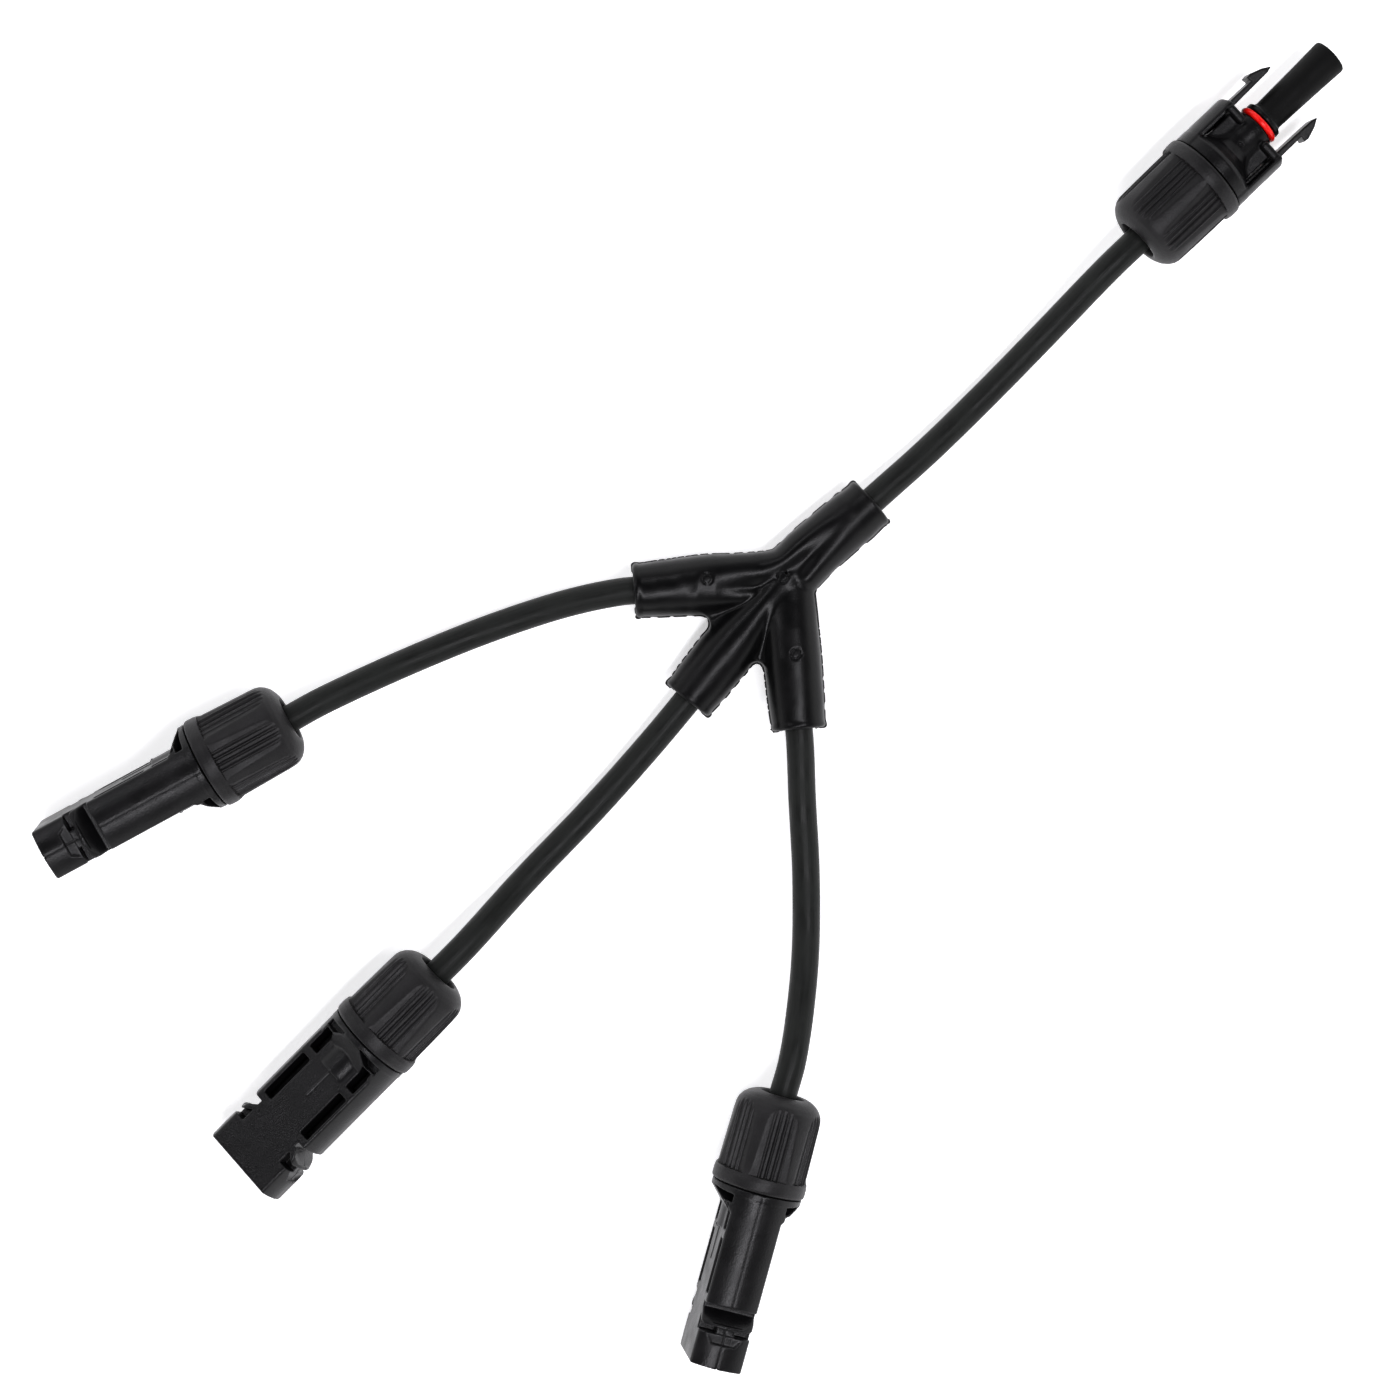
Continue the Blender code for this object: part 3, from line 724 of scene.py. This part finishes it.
def ring_mesh(name, rows, angles):
    """A closed mesh from rows of (along, radius) round the axis, which join up at the last row."""
    count, turns = len(rows), len(angles)
    cosine, sine = np.cos(angles), np.sin(angles)
    points = np.concatenate([
        np.stack([np.broadcast_to(along, turns), radius * cosine, radius * sine], 1)
        for along, radius in rows])
    row = np.arange(count)[:, None]
    turn = np.arange(turns)[None, :]
    next_row, next_turn = (row + 1) % count, (turn + 1) % turns
    faces = np.stack([row * turns + turn, next_row * turns + turn,
                      next_row * turns + next_turn, row * turns + next_turn], -1).reshape(-1, 4)
    mesh = bpy.data.meshes.new(name)
    mesh.from_pydata((points * MM).tolist(), [], faces[:, ::-1].tolist())
    mesh.shade_smooth()
    mesh.set_sharp_from_angle(angle=math.radians(40))
    return mesh


def nut_mesh():
    """The nut that all four connectors share: outside, front face, threaded bore, rear hole."""
    angles = np.linspace(0, 2 * math.pi, NUT_ANGLES, endpoint=False)
    alongs = np.unique(np.concatenate([
        np.linspace(0, 5, 22), np.linspace(5, 17.2, 20), np.linspace(17.3, 17.8, 6),
        np.linspace(17.9, NUT_LENGTH, 12)]))
    rows = [(along, nut_outer_radius(along, angles)) for along in alongs]
    rows += [(NUT_LENGTH, np.full_like(angles, r)) for r in (9.4, 8.6)]
    for along in np.arange(NUT_LENGTH - NUT_THREAD_STEP, 9.4, -NUT_THREAD_STEP):
        phase = (along / THREAD_PITCH - angles / (2 * math.pi)) % 1.0
        rows.append((along, NUT_THREAD_R + NUT_THREAD_DEPTH * np.abs(2 * phase - 1)))
    inner = [(9.2, 7.75), (6.5, 6.5), (3.2, 4.65), (0.5, 4.65), (0.15, 4.8), (0.0, 5.1)]
    rows += [(along, np.full_like(angles, r)) for along, r in inner]
    return ring_mesh("gland_nut", rows, angles)


def gland_nuts():
    """A nut on each connector, which moves with its own body."""
    mesh = nut_mesh()
    for name, seat in SEATS.items():
        nut = show(f"{name}_nut", mesh, "nut_nylon", seat)
        stands_for(nut, f"{name}_gland_nut", f"{name}_nut")


gland_nuts()

# ---------------------------------------------------------------- connector bodies

SOCKET_BORE_R = 4.25
FLEXED_SLOPE = 0.135
O_RING_X, O_RING_R, O_RING_HALF_THICKNESS = 36.0, 4.1, 0.7
SOCKET_WINDOWS = ((24.3, 30.2), (32.2, 44.2))
# Outlines of (along, distance from the middle), or of (along, height) for the recess.
COLLAR_VEE = [(21.9, 2.2), (24.0, 4.9), (24.0, 7.6), (22.4, 7.6)]
SIDE_NOTCH = [(45.0, 14.0), (45.9, 8.4), (45.9, 6.2), (47.0, 6.2), (49.6, 9.1), (49.6, 14.0)]
CATCH_POCKET = [(48.6, 6.2), (50.3, 8.5), (50.3, 14.0), (51.7, 14.0), (51.7, 6.2)]
CATCH_SLOT = [(50.3, 8.9), (50.3, 14.0), (51.7, 14.0), (51.7, 8.9)]
SIDE_RECESS = [(51.3, -4.3), (51.3, 4.3), (53.8, 2.6), (53.8, -2.6)]


def spigot_field(x, y, z):
    """The threaded spigot that the nut screws onto."""
    radius = np.hypot(y, z)
    phase = (x / THREAD_PITCH - np.arctan2(z, y) / (2 * math.pi)) % 1.0
    thread = SPIGOT_R + 0.3 * (1 - np.abs(2 * phase - 1))
    return np.maximum(radius - thread, slab(x, SPIGOT_X, SHOULDER_X + 1.5))


def contact_bore(x, y, z, outline):
    """A stepped round bore whose outline is in (along, radius)."""
    return inside_outline(x, np.hypot(y, z), outline)


def socket_shell(x, radius, high):
    """A round body with two flats, a step down behind them and a collar under the nut."""
    outer = np.interp(x, [48.0, 51.0], [BODY_R, BLOCK_R])
    core = np.maximum(radius - outer, slab(x, SHOULDER_X, SOCKET_LENGTH))
    flats = inside_outline(x, high, [
        (SHOULDER_X - 3, -5), (SHOULDER_X - 3, 10.8), (22.0, 9.75), (26.2, BODY_FLAT),
        (SOCKET_LENGTH + 3, BODY_FLAT), (SOCKET_LENGTH + 3, -5)])
    collar = np.maximum(radius - BODY_R, slab(x, SHOULDER_X, 22.2))
    barrel = common(0.5, radius - 6.5, slab(x, 23.0, 30.6))
    return join(0.3, common(0.45, core, flats), barrel, collar)


def socket_cuts(body, x, wide, z):
    """Cuts the rail windows, V notches, finger catches and finger passages out of the body."""
    high = np.abs(z)
    for start, end in SOCKET_WINDOWS:
        window = block(x, wide, z, (start, 4.9, -20), (end, 7.2, 20), 0.25)
        body = cut(0.25, body, np.maximum(window, 0.9 - high))
    body = cut(0.2, body, np.maximum(inside_outline(x, wide, COLLAR_VEE), 4.6 - high))
    deep_pocket = np.maximum(inside_outline(x, wide, CATCH_POCKET), 2.0 - high)
    notch, slot = inside_outline(x, wide, SIDE_NOTCH), inside_outline(x, wide, CATCH_SLOT)
    body = cut(0.2, body, notch, slot, deep_pocket)
    body = cut(0.3, body, np.maximum(inside_outline(x, z, SIDE_RECESS), 9.1 - wide))
    return cut(0.2, body, block(x, wide, z, (52.4, 5.9, -3.1), (SOCKET_LENGTH + 2, 8.3, 3.1), 0.3))


def socket_field(x, y, z):
    """A socket body with its cuts, side seams, fine rib, bore and threaded spigot."""
    radius, wide, high = np.hypot(y, z), np.abs(y), np.abs(z)
    front = SOCKET_LENGTH
    body = socket_cuts(socket_shell(x, radius, high), x, wide, z)
    seam = np.maximum(high - 0.12, 8.0 - wide)
    body = carve(body, seam, 0.12)
    rib = np.maximum(wide - 0.22, slab(x, 30.0, 38.0))
    body = raise_up(body, rib, 0.16)
    bore = [(SPIGOT_X - 1, -1), (SPIGOT_X - 1, SPIGOT_BORE_R), (SEAL_END_X, SPIGOT_BORE_R),
            (SEAL_END_X, PASSAGE_R), (38.3, PASSAGE_R), (38.3, 2.35), (39.5, 2.35),
            (39.5, SOCKET_BORE_R), (front - 4, SOCKET_BORE_R), (front - 4, 4.8), (front - 0.5, 4.8),
            (front + 1, 6.3), (front + 1, -1)]
    return cut(0.15, np.minimum(body, spigot_field(x, y, z)), contact_bore(x, y, z, bore))


def probe_field(x, y, z):
    """A turned neck and nose tube between two side walls, each with a channel for a finger."""
    radius, wide, high = np.hypot(y, z), np.abs(y), np.abs(z)
    face, tip = PROBE_FACE_X, PROBE_LENGTH
    neck = [(SHOULDER_X, -1), (SHOULDER_X, 9.6), (23.4, 9.6), (24.3, 8.9), (25.4, 7.2), (26.8, 5.6),
            (28.6, 4.75), (30.6, 4.6), (33.0, 4.8), (35.05, 4.65), (35.05, 3.35), (36.95, 3.35),
            (36.95, 4.5), (37.8, 4.5), (38.4, 3.7), (39.0, 3.5), (50.0, 3.8),
            (tip - 0.5, 4.08), (tip - 0.1, 4.0), (tip, 3.9), (tip, -1)]
    body = inside_outline(x, radius, neck)
    wall = common(0.9, radius - BODY_R, x - face)
    wall = np.maximum(common(0.5, wall, 7.6 - wide, high - BODY_FLAT), SHOULDER_X - x)
    arm = common(0.5, block(x, wide, z, (32.2, 3.0, -5.2), (face, 8.6, 5.2), 0.7), radius - BODY_R)
    inner_wall = block(x, wide, z, (23.0, 3.0, -3.4), (face - 0.5, 6.3, 3.4), 0.3)
    body = join(0.5, body, wall, arm, inner_wall)
    flexed = 6.3 - FLEXED_SLOPE * (x - FINGER_PIVOT[0])
    channel = block(x, wide, z, (23.9, 4.6, -3.1), (face + 2, 8.6, 3.1), 0.3)
    body = cut(0.2, body, np.maximum(channel, flexed - wide))
    dimple = np.maximum(np.hypot(x - 29.2, y) - 0.6, -z)
    body = carve(body, dimple, 0.35)
    bore = [(SPIGOT_X - 1, -1), (SPIGOT_X - 1, SPIGOT_BORE_R), (SEAL_END_X, SPIGOT_BORE_R),
            (SEAL_END_X, PASSAGE_R), (33.2, PASSAGE_R), (33.2, 2.85), (tip - 0.6, 2.85),
            (tip - 0.6, 2.3), (tip + 1, 2.3), (tip + 1, -1)]
    return cut(0.12, np.minimum(body, spigot_field(x, y, z)), contact_bore(x, y, z, bore))


def finger_field(x, y, z):
    """A latch finger from its pivot, with its barb towards +Y."""
    pivot_x, pivot_y = FINGER_PIVOT
    corners = [(24.3, 6.6), (44.6, 7.0), (46.0, 7.4), (44.2, 8.5), (41.6, 9.4), (40.5, 9.3),
               (40.7, 8.1), (24.3, 8.2)]
    outline = [(a - pivot_x, b - pivot_y) for a, b in corners]
    return common(0.35, inside_outline(x, y, outline), np.abs(z) - FINGER_HALF_WIDTH)


def connector_bodies():
    """Three socket bodies from one mesh, the probe body, and its two fingers from one mesh."""
    socket = skin(
        "socket_housing", socket_field, (8.6, -10.2, -10.2), (60.6, 10.2, 10.2), SOCKET_GRID)
    for name in ("left", "middle", "right"):
        body = show(f"{name}_socket", socket, "housing_nylon", SEATS[name])
        stands_for(body, f"{name}_housing")
    probe = skin("probe_housing", probe_field, (8.6, -10.2, -10.2), (58.1, 10.2, 10.2), PROBE_GRID)
    body = show("probe", probe, "probe_nylon", SEATS["probe"])
    stands_for(body, "probe_housing")
    finger = skin("latch_finger", finger_field, (-1.5, -1.4, -3.2), (21.5, 2.6, 3.2), FINGER_GRID)
    for label, side in (("a", 1), ("b", -1)):
        place = Matrix.Translation(Vector((FINGER_PIVOT[0], side * FINGER_PIVOT[1], 0)) * MM)
        turn = Matrix.Rotation(0 if side > 0 else math.pi, 4, "X")
        pose = SEATS["probe"] @ place @ turn
        piece = show(f"probe_finger_{label}", finger, "housing_nylon", pose)
        stands_for(piece, f"probe_latch_finger_{label}", f"probe_finger_{label}")


connector_bodies()


def o_ring():
    """The red ring in its groove, a little uneven round its length."""
    angles = np.linspace(0, 2 * math.pi, 96, endpoint=False)
    rows = []
    for turn in np.linspace(0, 2 * math.pi, 24, endpoint=False):
        sag = 0.03 * np.sin(3 * angles + 0.7)
        rows.append((
            O_RING_X + O_RING_HALF_THICKNESS * math.cos(turn),
            O_RING_R + O_RING_HALF_THICKNESS * math.sin(turn) + sag))
    mesh = ring_mesh("o_ring", rows, angles)
    mesh.set_sharp_from_angle(angle=math.pi)
    ring = show("probe_seal_ring", mesh, "o_ring_silicone", SEATS["probe"])
    stands_for(ring, "probe_o_ring")


o_ring()

# ---------------------------------------------------------------- CAD nodes that stay

KEPT_LOOKS = {
    "clamp_cage": "cage_nylon",
    "cable_seal": "seal_rubber",
    "pin_contact": "contact_tin",
    "socket_contact": "contact_tin",
    "contact_lamella": "spring_brass",
    "conductor": "conductor_copper",
    "splice_ferrule": "contact_tin",
}


def kept_nodes():
    """Gives the inner pieces, which keep their CAD shapes, their materials."""
    for node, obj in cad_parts.items():
        for ending, look in KEPT_LOOKS.items():
            if node.endswith(ending):
                obj.data.materials.clear()
                obj.data.materials.append(LOOKS[look])


kept_nodes()

# ---------------------------------------------------------------- floor and light

FLOOR_HALF_SIDE, FLOOR_GLOW = 3.0, 0.5
SKY_STRENGTH, DISPLAY_GAMMA = 2.1, 0.84
SKY_STEPS = ((0.3, 0.75), (0.6, 0.1))
LAMP_COLOUR = (0.97, 0.96, 1.0)


def studio():
    """A white paper floor that glows a little."""
    bm = bmesh.new()
    bmesh.ops.create_grid(bm, x_segments=8, y_segments=8, size=FLOOR_HALF_SIDE)
    mesh = bpy.data.meshes.new("floor")
    bm.to_mesh(mesh)
    bm.free()
    floor = bpy.data.objects.new("floor", mesh)
    bpy.context.scene.collection.objects.link(floor)
    material, tree, shader = shader_tree("floor_paper")
    tone = spread(tree, noise(tree, object_place(tree), 40.0), 0.3, 0.7, 0.0, 1.0)
    paper = mix_colours(tree, tone, (0.90, 0.90, 0.90), (0.92, 0.92, 0.92))
    tree.links.new(paper, shader.inputs["Base Color"])
    shader.inputs["Roughness"].default_value = 0.9
    shader.inputs["Emission Color"].default_value = (1.0, 1.0, 1.0, 1.0)
    shader.inputs["Emission Strength"].default_value = FLOOR_GLOW
    mesh.materials.append(material)


def softbox(name, place, aim, size, watts):
    """A rectangular lamp at a place, turned towards the aim."""
    data = bpy.data.lights.new(name, "AREA")
    data.shape = "RECTANGLE"
    data.size, data.size_y = size
    data.energy = watts
    data.color = LAMP_COLOUR
    lamp = bpy.data.objects.new(name, data)
    lamp.location = place
    lamp.rotation_euler = (Vector(aim) - Vector(place)).to_track_quat("-Z", "Y").to_euler()
    bpy.context.scene.collection.objects.link(lamp)


def sky():
    """A sky that darkens from straight down to straight up."""
    world = bpy.data.worlds.new("studio")
    world.use_nodes = True
    bpy.context.scene.world = world
    tree = world.node_tree
    place = add_node(tree, "ShaderNodeTexCoord").outputs["Generated"]
    parts = add_node(tree, "ShaderNodeSeparateXYZ")
    tree.links.new(place, parts.inputs["Vector"])
    ramp = add_node(tree, "ShaderNodeValToRGB")
    tree.links.new(parts.outputs["Z"], ramp.inputs["Fac"])
    stops = ramp.color_ramp.elements
    stops[0].position, stops[0].color = 0.0, (1.0, 1.0, 1.0, 1.0)
    stops[1].position, stops[1].color = 1.0, (0.02, 0.02, 0.021, 1.0)
    for position, level in SKY_STEPS:
        stops.new(position).color = (level, level, level * 1.02, 1.0)
    background = tree.nodes["Background"]
    tree.links.new(ramp.outputs["Color"], background.inputs["Color"])
    background.inputs["Strength"].default_value = SKY_STRENGTH


def lamps():
    """A key strip straight above and a fill strip from behind, and how the light is shown."""
    softbox("key", (-0.1, -0.21, 0.75), (-0.1, -0.21, 0.0), (0.9, 0.1), 5.0)
    softbox("fill", (-0.05, 0.59, 0.72), (-0.03, -0.01, 0.0), (0.9, 0.07), 1.8)
    bpy.context.scene.view_settings.view_transform = "Standard"
    bpy.context.scene.view_settings.gamma = DISPLAY_GAMMA


studio()
sky()
lamps()
